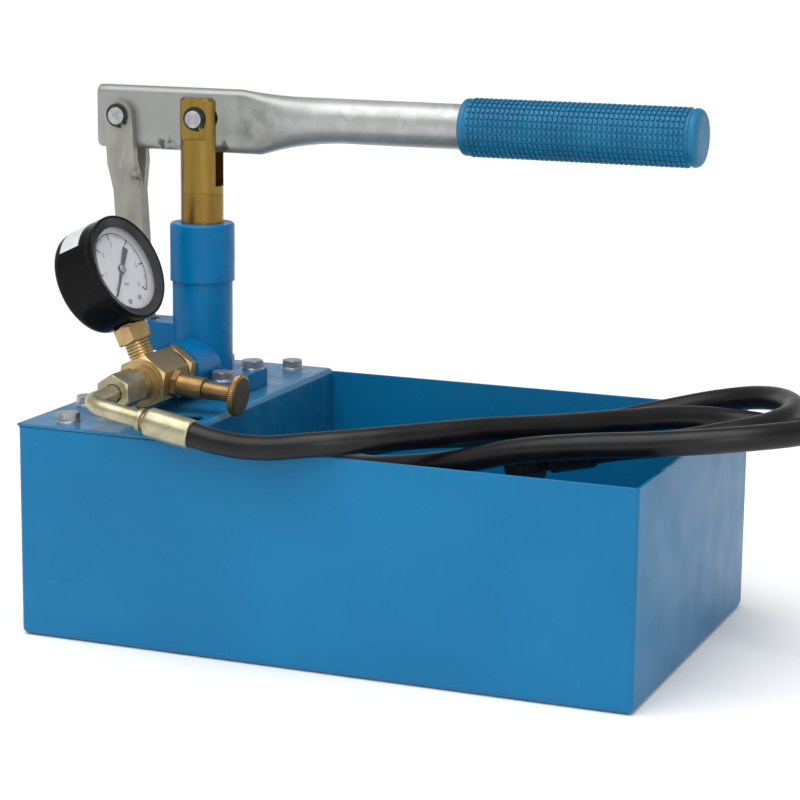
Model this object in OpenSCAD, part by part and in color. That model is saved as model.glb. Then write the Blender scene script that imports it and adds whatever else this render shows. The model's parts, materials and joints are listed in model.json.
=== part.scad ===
// Manual pressure-test pump: a hand lever, a plunger pump and its valves on an
// open sheet-steel water tank, with a pressure gauge and a rubber hose.
// Origin: centre of the tank's underside. +X runs along the tank to the grip
// end, +Y to the back, +Z up.

/* [Tank] */
// Length of the tank along X
tank_l = 358; // [350:1:366]
// Depth of the tank along Y
tank_w = 224; // [222:1:230]
// Height of the tank's walls
tank_h = 120; // [118:0.5:120]
// Thickness of the tank's sheet
sheet_t = 1.5; // [1.2:0.1:2]
// Radius of the folded corners
corner_r = 3; // [2.2:0.1:5]
// Height of the water gap under the partition
partition_gap = 14; // [10:1:30]

/* [Pump] */
// Diameter of the plunger
plunger_d = 25; // [24.5:0.1:25]
// Outside diameter of the cylinder
cylinder_d = 35.4; // [35:0.1:36]
// Outside diameter of the gland nut
gland_d = 38; // [37.5:0.1:40]
// Height of the plunger's top at rest
plunger_top = 294; // [293:0.5:300]
// Diameter of the three hinge pins
pin_d = 10; // [9.8:0.1:10]

/* [Lever] */
// Diameter of the handle's tube
tube_d = 25.4; // [25:0.1:25.4]
// Wall of the handle's tube
tube_wall = 2.5; // [2:0.1:3]
// Thickness of the handle's flattened end
flat_t = 10; // [9.6:0.1:10]
// Height of the handle's flattened end
flat_h = 37; // [35:0.5:37]
// Diameter of the grip
grip_d = 33; // [31:0.5:34]

/* [Valves] */
// Width across flats of the brass valve body
body_af = 28; // [26:0.5:28]
// Width across flats of the two swivel nuts
nut_af = 19; // [18:0.5:19]
// Diameter of the release valve's knob
knob_d = 24; // [20:0.5:26]

/* [Gauge] */
// Diameter of the gauge's case
gauge_d = 61.6; // [60:0.1:63]
// Depth of the gauge's case
gauge_depth = 31; // [30:0.5:32]
// Lean of the gauge's stem from upright
gauge_lean = 25; // [22:1:28]

/* [Hose] */
// Outside diameter of the hose
hose_d = 13.4; // [12:0.1:13.4]
// Downward tilt of the hose elbow's outlet
outlet_tilt = 10; // [9.5:0.1:10.5]

/* [Hidden] */
$fn = 72;

// colours
tank_blue = [0.10, 0.46, 0.70];
pump_blue = [0.05, 0.40, 0.66];
steel = [0.66, 0.68, 0.68];
zinc = [0.72, 0.72, 0.66];
brass = [0.68, 0.54, 0.30];
rubber = [0.08, 0.08, 0.08];

// lid
lid_t = 1.5;
lid_x0 = -tank_l/2;
lid_x1 = -85;
lid_l = lid_x1 - lid_x0;
lid_top = tank_h + lid_t;
rim_x = 17;
rim_y = 24;
bend_r = 3;
fill_hole = [-99, -59];
lid_bolt_at = [[-156, -96], [-169, -50], [-169, 50], [-156, 102], [-109, 102]];

// pump body
cx = -130;
cy = 20;
gasket_t = 1;
flange_z0 = lid_top + gasket_t;
flange_z1 = 132;
flange_x = 60;
flange_y = 58;
bolt_turns = [37, 12, 46, 8, 52];
flange_bolt_at = [for (x = [-23, 23], y = [-20, 20]) [cx + x, cy + y]];
spigot_d = 40;
spigot_z0 = 92;
bore_d = 27;
bore_z0 = 102;
packing_z0 = 190;
packing_d = 30;
packing_t = 5;
thread_d = 34;
gland_z0 = 187;
gland_z1 = 221;
gland_roof = 209.5;
wiper_z = 214.5;
wiper_d = 30;
wiper_h = 4;
run = 0.05;
m8 = 8;
m8_head_af = 11.8;
m8_head = 5.3;
m8_collar_d = 13.8;
m8_collar = 1;
m8_nut_af = 13;
m8_nut = 6.5;

// linkage: bottom pin of the link, top pin of the link, pin of the plunger
lug_pin_at = [-172, 153];
link_pin_at = [-180, 282];
plunger_pin_z = 282;
link_dx = link_pin_at[0] - lug_pin_at[0];
link_dz = link_pin_at[1] - lug_pin_at[1];
link_len = sqrt(link_dx*link_dx + link_dz*link_dz);
link_lean = atan2(-link_dx, link_dz);
link_w = 18;
link_t = 4.5;
side_gap = 0.3;
lug_z = 17;
lug_y = 24;
clip_t = 1;
clip_d = 15;
clip_groove = 9.4;
plunger_z0 = 145;
slot_z0 = 243;
flats_z0 = 270;
flats_y = 9.2;
plunger_pin_half = 11.9;
link_pin_half = 12.6;
lug_pin_half = 14.8;

// handle
flat_x0 = -196;
flat_x1 = -100;
flat_z = 281;
tube_x0 = -40;
tube_x1 = 166;
tube_z = 284;
wear_slot = [-129.5, -124];
wear_slot_z = 282.7;
wear_slot_h = 13.4;
grip_x0 = 34;
grip_x1 = 171;
grip_round = 4;

// valve block on the cylinder's side boss, along -Y
vz = 138.5;
boss_d = 31.8;
boss_y = -17;
spigot_bore = 16;
hex_turn = 25;
collar_y1 = -24.5;
hex_y0 = -27.5;
hex_y1 = -58;
neck_y1 = -69.5;
outlet_thread = 13.1;
outlet_y1 = -82;
branch_y = -45;

// release valve, measured outwards from the valve block's axis
release_drop = 5;
release_hex = [14, 18];
release_barrel = 33.5;
release_stem = 52.3;
release_end = 56.7;

// gauge, measured from the valve block's axis along the gauge's stem
gauge_twist = 6;
gauge_up = 64;
gauge_hex_af = 19;
socket_neck_d = 14;
dial_x = 8.5;

// outlet swivel nut and hose elbow
nut_y0 = -70;
nut_y1 = -92;
elbow_d = 10;
elbow_bore = 6;
elbow_r = 12;
elbow_y = -122;
ferrule_x = [37, 65];
ferrule_d = 16.5;

// hose: points along its centreline, from the elbow's ferrule over the front
// wall, twice round over the right wall, to its end fitting inside the tank
route = [
    [-66, -122, 127.2], [-50, -122, 124.4], [-26, -121, 123.5], [0, -116, 126.5],
    [24, -103, 128.3], [50, -82, 129.5], [78, -55, 130], [106, -28, 129],
    [136, 4, 128.5], [166, 30, 128.2], [194, 43, 125.5], [221, 42, 124],
    [244, 26, 128], [256, -1, 135], [254, -31, 141], [236, -57, 141.5],
    [207, -72, 139], [174, -76, 135], [138, -78, 131], [102, -78, 125],
    [66, -75, 115], [32, -70, 108], [4, -56, 103], [-16, -32, 101],
    [-20, -3, 100], [-6, 23, 101], [22, 36, 103], [54, 39, 106],
    [86, 44, 111], [116, 52, 117.5], [146, 61, 125], [174, 64, 132],
    [200, 56, 137.5], [220, 35, 140], [228, 7, 140], [221, -21, 138.5],
    [201, -42, 135.5], [176, -54, 131], [152, -58, 127.3], [138, -58, 124]
];
hose_sides = 10;
route_end = route[len(route) - 1];
end_way = route_end - route[len(route) - 2];
end_ferrule = 26;
end_nut = [30, 48];
end_thread = 12.4;
end_seat = 40.5;

// suction valve and strainer under the cylinder
suction_af = 26;
seat_d = 22;
suction_z0 = 86;
cage_z1 = 117;
cage_d = 20;
ball_d = 12;
strainer_z = [8, 34];
strainer_d = 26;

// ---- shared shapes ----

module rounded_rect(w, d, r) {
    square([w - 2*r, d], center = true);
    square([w, d - 2*r], center = true);
    for (x = [-1, 1], y = [-1, 1])
        translate([x*(w/2 - r), y*(d/2 - r)]) circle(r);
}

module ring(outer, inner, h) {
    difference() {
        cylinder(d = outer, h = h);
        translate([0, 0, -1]) cylinder(d = inner, h = h + 2);
    }
}

module hex(af, h) {
    cylinder(d = af/cos(30), h = h, $fn = 6);
}

// hexagon with its corners turned off at both ends
module turned_hex(af, h) {
    ac = af/cos(30) + 0.2;
    cut = (ac - af)*0.3;
    intersection() {
        hex(af, h);
        rotate_extrude() polygon([
            [0, 0], [af*0.495, 0], [ac/2, cut], [ac/2, h - cut], [af*0.495, h], [0, h]
        ]);
    }
}

// children drawn along +Z are turned to run along -Y from y
module forward(x, y, z) {
    translate([x, y, z]) rotate([90, 0, 0]) children();
}

module pin_hole(x, z) {
    forward(x, cy + 40, z) cylinder(d = pin_d + 2*run, h = 80);
}

module hinge_pin(x, z, half) {
    forward(x, cy + half, z) difference() {
        cylinder(d = pin_d, h = 2*half);
        for (s = [1.3, 2*half - 1.3 - clip_t - 0.2])
            translate([0, 0, s]) ring(pin_d + 2, clip_groove, clip_t + 0.2);
    }
}

module pin_clips(x, z, half) {
    for (s = [1.4, 2*half - 1.4 - clip_t])
        forward(x, cy + half - s, z) ring(clip_d, clip_groove + 0.3, clip_t);
}

module bolts(places, z, below) {
    for (i = [0:len(places) - 1]) translate([places[i][0], places[i][1], z]) {
        cylinder(d1 = m8_collar_d, d2 = m8_collar_d - 1, h = m8_collar);
        translate([0, 0, m8_collar - 0.1]) rotate([0, 0, bolt_turns[i]])
            turned_hex(m8_head_af, m8_head - m8_collar + 0.1);
        translate([0, 0, -below]) cylinder(d = m8 - 0.1, h = below + 1);
    }
}

module nuts(places, z) {
    for (p = places) translate([p[0], p[1], z - m8_nut]) difference() {
        hex(m8_nut_af, m8_nut);
        translate([0, 0, -1]) cylinder(d = m8, h = m8_nut + 2);
    }
}

module bolt_holes(places, z, h) {
    for (p = places) translate([p[0], p[1], z]) cylinder(d = m8 + 0.5, h = h);
}

// ---- tank ----

module tank_shell() color(tank_blue) {
    difference() {
        linear_extrude(tank_h) rounded_rect(tank_l, tank_w, corner_r);
        translate([0, 0, sheet_t]) linear_extrude(tank_h)
            rounded_rect(tank_l - 2*sheet_t, tank_w - 2*sheet_t, corner_r - sheet_t);
    }
    // rim folded inwards under the lid on three sides
    difference() {
        translate([lid_x0 + sheet_t/2, -tank_w/2 + sheet_t/2, tank_h - sheet_t])
            cube([lid_l - 4 - sheet_t/2, tank_w - sheet_t, sheet_t]);
        translate([lid_x0 + rim_x, -tank_w/2 + rim_y, tank_h - 2*sheet_t])
            cube([lid_l, tank_w - 2*rim_y, 3*sheet_t]);
        bolt_holes(lid_bolt_at, tank_h - 5, 10);
    }
}

module tank_lid() color(tank_blue) {
    skirt_y = tank_w - 2*sheet_t - 0.4;
    difference() {
        translate([lid_x0, -tank_w/2, tank_h]) cube([lid_l - bend_r, tank_w, lid_t]);
        bolt_holes(lid_bolt_at, tank_h - 5, 10);
        bolt_holes(flange_bolt_at, tank_h - 5, 10);
        translate([cx, cy, tank_h - 5]) cylinder(d = spigot_d + 2, h = 10);
        translate([fill_hole[0], fill_hole[1], tank_h - 5]) cylinder(d = 16, h = 10);
    }
    // rounded bend and the partition that hangs from it
    translate([lid_x1 - bend_r, skirt_y/2, lid_top - bend_r]) rotate([90, 0, 0])
        linear_extrude(skirt_y) intersection() {
            difference() {
                circle(bend_r);
                circle(bend_r - lid_t);
            }
            square(bend_r + 1);
        }
    translate([lid_x1 - lid_t, -skirt_y/2, partition_gap])
        cube([lid_t, skirt_y, lid_top - bend_r - partition_gap]);
}

module lid_bolts() color(steel) bolts(lid_bolt_at, lid_top, 14);
module lid_nuts() color(steel) nuts(lid_bolt_at, tank_h - sheet_t);

// ---- pump body ----

module base_gasket() color(rubber) {
    translate([cx, cy, lid_top]) difference() {
        linear_extrude(gasket_t) rounded_rect(flange_x, flange_y, 4);
        translate([0, 0, -1]) cylinder(d = spigot_d + 0.4, h = gasket_t + 2);
        translate([-cx, -cy, -1]) bolt_holes(flange_bolt_at, 0, gasket_t + 2);
    }
}

module pump_body() color(pump_blue) {
    lug_x = lug_pin_at[0];
    lug_mid = lug_pin_at[1];
    difference() {
        union() {
            translate([cx, cy, flange_z0])
                linear_extrude(flange_z1 - flange_z0) rounded_rect(flange_x, flange_y, 4);
            translate([cx, cy, spigot_z0]) cylinder(d = spigot_d, h = flange_z0 - spigot_z0 + 1);
            translate([cx, cy, flange_z0]) cylinder(d = cylinder_d, h = gland_z0 - flange_z0);
            translate([cx, cy, gland_z0 - 1]) cylinder(d = thread_d, h = 22);
            forward(cx, cy, vz) cylinder(d = boss_d, h = cy - boss_y);
            // lug for the link
            translate([lug_x, cy - lug_y/2, lug_mid - lug_z/2]) cube([cx - lug_x, lug_y, lug_z]);
            forward(lug_x, cy + lug_y/2, lug_mid) cylinder(d = lug_z, h = lug_y);
        }
        translate([cx, cy, bore_z0]) cylinder(d = bore_d, h = packing_z0 - bore_z0 + 1);
        translate([cx, cy, spigot_z0 - 1]) cylinder(d = seat_d + 0.1, h = bore_z0 - spigot_z0 + 2);
        translate([cx, cy, packing_z0]) cylinder(d = packing_d, h = 30);
        forward(cx, cy, vz) cylinder(d = 7, h = cy + 1);
        forward(cx, 0, vz) cylinder(d = spigot_bore + 0.1, h = 1 - boss_y);
        bolt_holes(flange_bolt_at, flange_z0 - 1, 12);
        translate([lug_x - lug_z, cy - link_t - side_gap, lug_mid - lug_z])
            cube([lug_z + 12, 2*(link_t + side_gap), 2*lug_z]);
        pin_hole(lug_x, lug_mid);
    }
}

module flange_bolts() color(steel) bolts(flange_bolt_at, flange_z1, 24);
module flange_nuts() color(steel) nuts(flange_bolt_at, tank_h);

module packing_rings() color(rubber)
    for (i = [0:2])
        translate([cx, cy, packing_z0 + i*packing_t])
            ring(packing_d, plunger_d + 2*run, packing_t - 0.1);

module packing_follower() color(brass)
    translate([cx, cy, packing_z0 + 3*packing_t])
        ring(packing_d - 0.2, plunger_d + 2*run, 4.3);

module gland_nut() color(pump_blue)
    translate([cx, cy, 0]) difference() {
        union() {
            translate([0, 0, gland_z0]) cylinder(d = gland_d, h = gland_z1 - gland_z0 - 1);
            translate([0, 0, gland_z1 - 1]) cylinder(d1 = gland_d, d2 = gland_d - 2, h = 1);
        }
        translate([0, 0, gland_z0 - 1]) cylinder(d = thread_d + 0.1, h = gland_roof - gland_z0 + 1);
        translate([0, 0, gland_roof - 1]) cylinder(d = plunger_d + 2*run, h = 20);
        translate([0, 0, wiper_z]) cylinder(d = wiper_d, h = wiper_h);
    }

module wiper_ring() color(rubber)
    translate([cx, cy, wiper_z + 0.1]) ring(wiper_d - 0.2, plunger_d + 2*run, wiper_h - 0.2);

// ---- plunger ----

module plunger() color(brass) {
    slot_w = flat_t + 2*side_gap;
    difference() {
        translate([cx, cy, 0]) union() {
            translate([0, 0, plunger_z0]) cylinder(d1 = plunger_d - 2, d2 = plunger_d, h = 1);
            translate([0, 0, plunger_z0 + 1])
                cylinder(d = plunger_d, h = plunger_top - plunger_z0 - 2.5);
            translate([0, 0, plunger_top - 1.5])
                cylinder(d1 = plunger_d, d2 = plunger_d - 3, h = 1.5);
        }
        translate([cx - 20, cy - slot_w/2, slot_z0]) cube([40, slot_w, 60]);
        for (s = [-1, 1])
            translate([cx - 20, cy + s*(flats_y + 5) - 5, flats_z0]) cube([40, 10, 40]);
        translate([cx, cy, 238]) ring(plunger_d + 2, plunger_d - 0.6, 0.8);
        pin_hole(cx, plunger_pin_z);
    }
}

module plunger_pin() color(steel) hinge_pin(cx, plunger_pin_z, plunger_pin_half);
module plunger_pin_clips() color(rubber) pin_clips(cx, plunger_pin_z, plunger_pin_half);

// ---- link between the lug and the handle ----

// strap whose upper half is joggled outwards; side is -1 in front, 1 behind
module strap(side) {
    out = flat_t/2 + side_gap;
    translate([lug_pin_at[0], cy, lug_pin_at[1]]) rotate([0, -link_lean, 0]) difference() {
        intersection() {
            translate([-link_w, 0, 0]) rotate([90, 0, 90]) linear_extrude(2*link_w)
                scale([side, 1]) polygon([
                    [0, -link_w], [link_t, -link_w], [link_t, 85], [out + link_t, 101],
                    [out + link_t, link_len + link_w], [out, link_len + link_w],
                    [out, 103], [0, 87]
                ]);
            translate([0, 20, 0]) rotate([90, 0, 0]) linear_extrude(40) {
                circle(link_w/2);
                translate([0, link_len]) circle(link_w/2);
                translate([-link_w/2, 0]) square([link_w, link_len]);
            }
        }
        for (z = [0, link_len])
            translate([0, 20, z]) rotate([90, 0, 0]) cylinder(d = pin_d + 2*run, h = 40);
    }
}

module link_front_strap() color(steel) strap(-1);
module link_rear_strap() color(steel) strap(1);
module link_pin() color(steel) hinge_pin(link_pin_at[0], link_pin_at[1], link_pin_half);
module link_pin_clips() color(rubber) pin_clips(link_pin_at[0], link_pin_at[1], link_pin_half);
module lug_pin() color(steel) hinge_pin(lug_pin_at[0], lug_pin_at[1], lug_pin_half);
module lug_pin_clips() color(rubber) pin_clips(lug_pin_at[0], lug_pin_at[1], lug_pin_half);

// ---- handle ----

module squashed(h) {
    square([flat_t, h - flat_t], center = true);
    for (s = [-1, 1]) translate([0, s*(h - flat_t)/2]) circle(flat_t/2);
}

module handle_tube() color(steel)
    translate([0, cy, 0]) difference() {
        union() {
            intersection() {
                translate([flat_x0, 0, flat_z]) rotate([90, 0, 90])
                    linear_extrude(flat_x1 - flat_x0 + 0.5) squashed(flat_h);
                translate([(flat_x0 + flat_x1)/2 + 10, 10, flat_z]) rotate([90, 0, 0])
                    linear_extrude(20) rounded_rect(flat_x1 - flat_x0 + 20, flat_h, 3);
            }
            hull() {
                translate([flat_x1, 0, flat_z]) rotate([90, 0, 90])
                    linear_extrude(0.5) squashed(flat_h);
                translate([tube_x0, 0, tube_z]) rotate([0, 90, 0])
                    cylinder(d = tube_d, h = 0.5, $fn = 48);
            }
            translate([tube_x0, 0, tube_z]) rotate([0, 90, 0])
                cylinder(d = tube_d, h = tube_x1 - tube_x0);
        }
        translate([tube_x0 + 8, 0, tube_z]) rotate([0, 90, 0])
            cylinder(d = tube_d - 2*tube_wall, h = 300);
        translate([link_pin_at[0], 20, link_pin_at[1]]) rotate([90, 0, 0])
            cylinder(d = pin_d + 2*run, h = 40);
        for (x = wear_slot)
            translate([x, 20, wear_slot_z]) rotate([90, 0, 0])
                cylinder(d = wear_slot_h, h = 40);
        translate([wear_slot[0], -20, wear_slot_z - wear_slot_h/2])
            cube([wear_slot[1] - wear_slot[0], 40, wear_slot_h]);
    }

module handle_grip() color(tank_blue) {
    r = grip_d/2;
    len_x = grip_x1 - grip_x0;
    translate([grip_x0, cy, tube_z]) rotate([0, 90, 0]) difference() {
        rotate_extrude() {
            square([r - grip_round, len_x]);
            translate([0, grip_round]) square([r, len_x - 2*grip_round]);
            for (z = [grip_round, len_x - grip_round])
                translate([r - grip_round, z]) circle(grip_round);
        }
        translate([0, 0, -1]) cylinder(d = tube_d + 0.2, h = tube_x1 - grip_x0 + 1.2);
    }
}

// ---- suction side ----

module suction_seat() color(brass)
    translate([cx, cy, 0]) difference() {
        union() {
            translate([0, 0, suction_z0]) hex(suction_af, spigot_z0 - suction_z0);
            translate([0, 0, spigot_z0]) cylinder(d = seat_d, h = bore_z0 - spigot_z0);
            translate([0, 0, bore_z0]) cylinder(d = cage_d, h = cage_z1 - bore_z0);
        }
        translate([0, 0, suction_z0 - 1]) cylinder(d = 12.1, h = 5);
        translate([0, 0, suction_z0 - 1]) cylinder(d = 8, h = 30);
        translate([0, 0, bore_z0]) cylinder(d = ball_d + 0.6, h = 30);
        translate([-15, -2, bore_z0 + 4]) cube([30, 4, 7]);
        translate([0, 15, 115]) rotate([90, 0, 0]) cylinder(d = 2.02, h = 30);
    }

module suction_ball() color(steel)
    translate([cx, cy, bore_z0 + sqrt(ball_d*ball_d/4 - 16) + 0.1]) sphere(d = ball_d);

module ball_stop_pin() color(steel)
    forward(cx, cy + 9.5, 115) cylinder(d = 2, h = 19);

module suction_tube() color(brass)
    translate([cx, cy, strainer_z[1] - 4]) ring(12, 8, suction_z0 + 4 - strainer_z[1] + 4);

module suction_strainer() color(steel)
    translate([cx, cy, strainer_z[0]]) difference() {
        cylinder(d = strainer_d, h = strainer_z[1] - strainer_z[0]);
        translate([0, 0, 1.5])
            cylinder(d = strainer_d - 3, h = strainer_z[1] - strainer_z[0] - 3);
        translate([0, 0, 10]) cylinder(d = 12.1, h = 30);
        for (a = [0:30:150]) rotate([0, 0, a])
            translate([-20, -1, 4]) cube([40, 2, strainer_z[1] - strainer_z[0] - 8]);
    }

// ---- delivery side and valve block ----

module delivery_seat() color(brass)
    forward(cx, -1, vz) ring(spigot_bore, 6.5, 3);

module delivery_ball() color(steel)
    forward(cx, -4 - sqrt(25 - 10.6) - 0.1, vz) sphere(d = 10);

// places children in the release valve's frame: +Z outwards
module release_frame() {
    translate([cx, branch_y, vz]) rotate([0, 90 + release_drop, 0]) children();
}

// places children in the gauge's frame: +Z up the stem, +X out of the dial
module gauge_frame() {
    translate([cx, branch_y, vz]) rotate([0, -gauge_lean, 0])
        rotate([0, 0, -gauge_twist]) children();
}

module valve_body() color(brass)
    difference() {
        union() {
            forward(cx, -5, vz) cylinder(d = spigot_bore, h = 13);
            forward(cx, boss_y, vz) rotate([0, 0, hex_turn])
                turned_hex(body_af, boss_y - collar_y1);
            forward(cx, collar_y1 + 1, vz) cylinder(d = 23, h = collar_y1 - hex_y0 + 2);
            forward(cx, hex_y0, vz) rotate([0, 0, hex_turn])
                turned_hex(body_af, hex_y0 - hex_y1);
            forward(cx, hex_y1 + 1, vz) cylinder(d = 24.5, h = 2.5);
            forward(cx, hex_y1, vz) cylinder(d = 18.5, h = hex_y1 - neck_y1);
            forward(cx, neck_y1 + 1, vz) cylinder(d = outlet_thread, h = neck_y1 - outlet_y1 + 1);
        }
        for (y = [-62.2, -65.4])
            forward(cx, y, vz) ring(30, 17, 1.2);
        forward(cx, -4, vz) cylinder(d = 12, h = 12);
        forward(cx, -10, vz) cylinder(d = 6, h = 80);
        gauge_frame() translate([0, 0, 8]) cylinder(d = outlet_thread + 0.1, h = 20);
        gauge_frame() cylinder(d = 4, h = 20);
        release_frame() translate([0, 0, 7]) cylinder(d = 10.1, h = 20);
        release_frame() translate([0, 0, 5]) cylinder(d = 7, h = 10);
        release_frame() cylinder(d = 3.4, h = 6);
    }

module release_gland() color(brass)
    release_frame() difference() {
        union() {
            translate([0, 0, 7.5]) cylinder(d = 10, h = release_hex[0] - 7);
            translate([0, 0, release_hex[0] + 0.1]) hex(14, release_hex[1] - release_hex[0]);
            translate([0, 0, release_hex[1]]) cylinder(d = 12.8, h = release_barrel - release_hex[1]);
        }
        translate([0, 0, 5]) cylinder(d = 6 + 2*run, h = 40);
        translate([0, 0, 5]) cylinder(d = 7, h = 15);
        translate([0, 0, 19]) rotate([0, 90, 0]) cylinder(d = 2, h = 20);
        translate([0, 0, 29.5]) cylinder(d = 9.8, h = 10);
        translate([0, 0, 22]) cylinder(d = 9, h = 2.6);
    }

module release_seal() color(rubber)
    release_frame() translate([0, 0, 22.2]) ring(8.8, 6 + 2*run, 2.2);

module release_spindle() color(brass)
    release_frame() {
        translate([0, 0, 4.2]) cylinder(d1 = 2, d2 = 6, h = 2.8);
        translate([0, 0, 7]) cylinder(d = 6, h = 24);
        translate([0, 0, 30]) cylinder(d = 9.6, h = release_stem - 30);
    }

module release_knob() color(brass)
    release_frame() {
        h = release_end - release_stem;
        translate([0, 0, release_stem]) cylinder(d1 = knob_d - 2, d2 = knob_d, h = 1);
        translate([0, 0, release_stem + 1]) cylinder(d = knob_d, h = h - 2);
        translate([0, 0, release_end - 1]) cylinder(d1 = knob_d, d2 = knob_d - 2, h = 1);
    }

// ---- gauge ----

// children drawn along +Z are turned to run along the gauge's +X from x
module gauge_along(x) {
    gauge_frame() translate([x, 0, gauge_up]) rotate([0, 90, 0]) children();
}

module gauge_socket() color(brass)
    gauge_frame() difference() {
        union() {
            translate([0, 0, 8.5]) cylinder(d = outlet_thread, h = 12);
            translate([0, 0, 14.4]) cylinder(d = socket_neck_d, h = 10);
            for (z = [15.4:1.8:22.6])
                translate([0, 0, z]) cylinder(d1 = socket_neck_d, d2 = socket_neck_d + 1.2, h = 1);
            translate([0, 0, 23.4]) turned_hex(gauge_hex_af, 9.8);
            translate([0, 0, 32]) cylinder(d = 13, h = 14);
            translate([-3.5, -5, 40]) cube([4, 10, 20]);
        }
        translate([0, 0, 8]) cylinder(d = 4, h = 30);
    }

module gauge_case() color(rubber)
    difference() {
        gauge_along(-gauge_depth/2) cylinder(d = gauge_d, h = gauge_depth - 5);
        gauge_along(-gauge_depth/2 + 1.5) cylinder(d = gauge_d - 3, h = gauge_depth);
        gauge_frame() translate([0, 0, 25]) cylinder(d = 13.4, h = 20);
    }

module gauge_bezel() color(rubber)
    gauge_along(gauge_depth/2 - 5) difference() {
        union() {
            cylinder(d = gauge_d, h = 4.2);
            translate([0, 0, 4.2]) cylinder(d1 = gauge_d, d2 = gauge_d - 1.6, h = 0.8);
        }
        translate([0, 0, -1]) cylinder(d = 56, h = 4);
        translate([0, 0, 2.9]) cylinder(d1 = 51, d2 = 54.5, h = 2.2);
    }

module gauge_window() color([0.9, 0.95, 1, 0.3])
    gauge_along(gauge_depth/2 - 3.6) cylinder(d = 55.8, h = 1.5);

module gauge_dial() color("white")
    gauge_along(dial_x) ring(gauge_d - 3.2, 3, 0.8);

module gauge_pointer() color(rubber)
    gauge_along(0) {
        translate([0, 0, 5]) cylinder(d = 2, h = 5.6);
        translate([0, 0, 9.7]) cylinder(d = 5.4, h = 0.9);
        // the zero of the scale is 45 degrees to the left of straight down
        rotate([0, 0, -45]) translate([0, 0, 9.7]) linear_extrude(0.7) {
            polygon([[0, -1], [19.5, -0.35], [19.5, 0.35], [0, 1]]);
            polygon([[0, -1.1], [-15.5, -1.9], [-15.5, 1.9], [0, 1.1]]);
        }
    }

module gauge_movement() color(brass)
    gauge_along(0) difference() {
        union() {
            for (z = [0.5, 6]) translate([-7, -9, z]) cube([14, 18, 1.2]);
            for (x = [-5, 5], y = [-7, 7]) translate([x, y, 1]) cylinder(d = 2, h = 6);
        }
        translate([0, 0, 3]) cylinder(d = 2 + 2*run, h = 6);
    }

module bourdon_tube() color(brass)
    gauge_along(-6) rotate([0, 0, 20]) rotate_extrude(angle = 250)
        translate([20, 0]) circle(2.4);

// ---- outlet and hose ----

// swivel nut drawn along +Z: thread at the open end, a small rear hole
module swivel_nut(h, thread, chamber, seat, rear) {
    difference() {
        turned_hex(nut_af, h);
        translate([0, 0, -1]) cylinder(d = thread, h = seat + 1);
        translate([0, 0, seat - 0.01]) cylinder(d = chamber, h = h - seat - 5);
        translate([0, 0, 1]) cylinder(d = rear, h = h);
    }
}

module outlet_nut() color(zinc)
    forward(cx, nut_y0, vz) rotate([0, 0, 34])
        swivel_nut(nut_y0 - nut_y1, outlet_thread + 0.1, 13.4, 12.5, elbow_d + 0.9);

// places children so that +X runs out of the elbow's outlet
module outlet_frame() {
    translate([cx, 0, vz]) rotate([0, outlet_tilt, 0]) children();
}

module hose_elbow() color(zinc)
    outlet_frame() difference() {
        union() {
            forward(0, outlet_y1, 0) cylinder(d = elbow_d, h = outlet_y1 - elbow_y - elbow_r);
            forward(0, outlet_y1 - 0.6, 0) cylinder(d = 12.6, h = 3.6);
            translate([elbow_r, elbow_y + elbow_r, 0]) rotate([0, 0, 180])
                rotate_extrude(angle = 90) translate([elbow_r, 0]) circle(d = elbow_d);
            translate([elbow_r, elbow_y, 0]) rotate([0, 90, 0])
                cylinder(d = elbow_d, h = ferrule_x[1] - elbow_r - 1);
            translate([33, elbow_y, 0]) rotate([0, 90, 0]) cylinder(d = 12.6, h = 2.4);
        }
        forward(0, outlet_y1 + 1, 0) cylinder(d = elbow_bore, h = outlet_y1 + 1 - elbow_y - elbow_r);
        translate([elbow_r, elbow_y + elbow_r, 0]) rotate([0, 0, 180])
            rotate_extrude(angle = 90) translate([elbow_r, 0]) circle(d = elbow_bore);
        translate([elbow_r, elbow_y, 0]) rotate([0, 90, 0])
            cylinder(d = elbow_bore, h = 80);
    }

// crimped sleeve drawn along +Z from its chamfered end
module sleeve(h, inner) {
    difference() {
        union() {
            cylinder(d1 = ferrule_d - 3.5, d2 = ferrule_d, h = 2);
            translate([0, 0, 2]) cylinder(d = ferrule_d, h = h - 2);
        }
        translate([0, 0, -1]) cylinder(d = inner, h = h + 2);
    }
}

module crimp_ferrule() color(zinc)
    outlet_frame() translate([ferrule_x[0], elbow_y, 0]) rotate([0, 90, 0])
        sleeve(ferrule_x[1] - ferrule_x[0], elbow_d + 0.1);

function unit(v) = v/norm(v);
function tangent(i) =
    i == 0 ? unit(route[1] - route[0])
    : i == len(route) - 1 ? unit(end_way)
    : unit(unit(route[i + 1] - route[i]) + unit(route[i] - route[i - 1]));
function ring_at(i) =
    let (t = tangent(i), side = unit(cross(t, [0, 0, 1])), up = cross(side, t))
    [for (k = [0:hose_sides - 1])
        route[i] + hose_d/2*(cos(360*k/hose_sides)*side + sin(360*k/hose_sides)*up)];

module hose() color(rubber) {
    n = hose_sides;
    last = (len(route) - 1)*n;
    points = [for (i = [0:len(route) - 1]) each ring_at(i)];
    wall = [for (i = [0:len(route) - 2], k = [0:n - 1])
        let (a = i*n + k, b = i*n + (k + 1)%n)
        each [[a, a + n, b], [b, a + n, b + n]]];
    ends = [[for (k = [0:n - 1]) k], [for (k = [n - 1:-1:0]) last + k]];
    polyhedron(points, concat(ends, wall));
}

// places children at the hose's far end, +Z pointing out of it
module end_frame() {
    u = unit(end_way);
    translate(route_end) rotate([0, acos(u[2]), atan2(u[1], u[0])]) children();
}

module hose_end_ferrule() color(zinc)
    end_frame() translate([0, 0, end_ferrule]) rotate([180, 0, 0])
        sleeve(end_ferrule - 0.1, 9.5);

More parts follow.
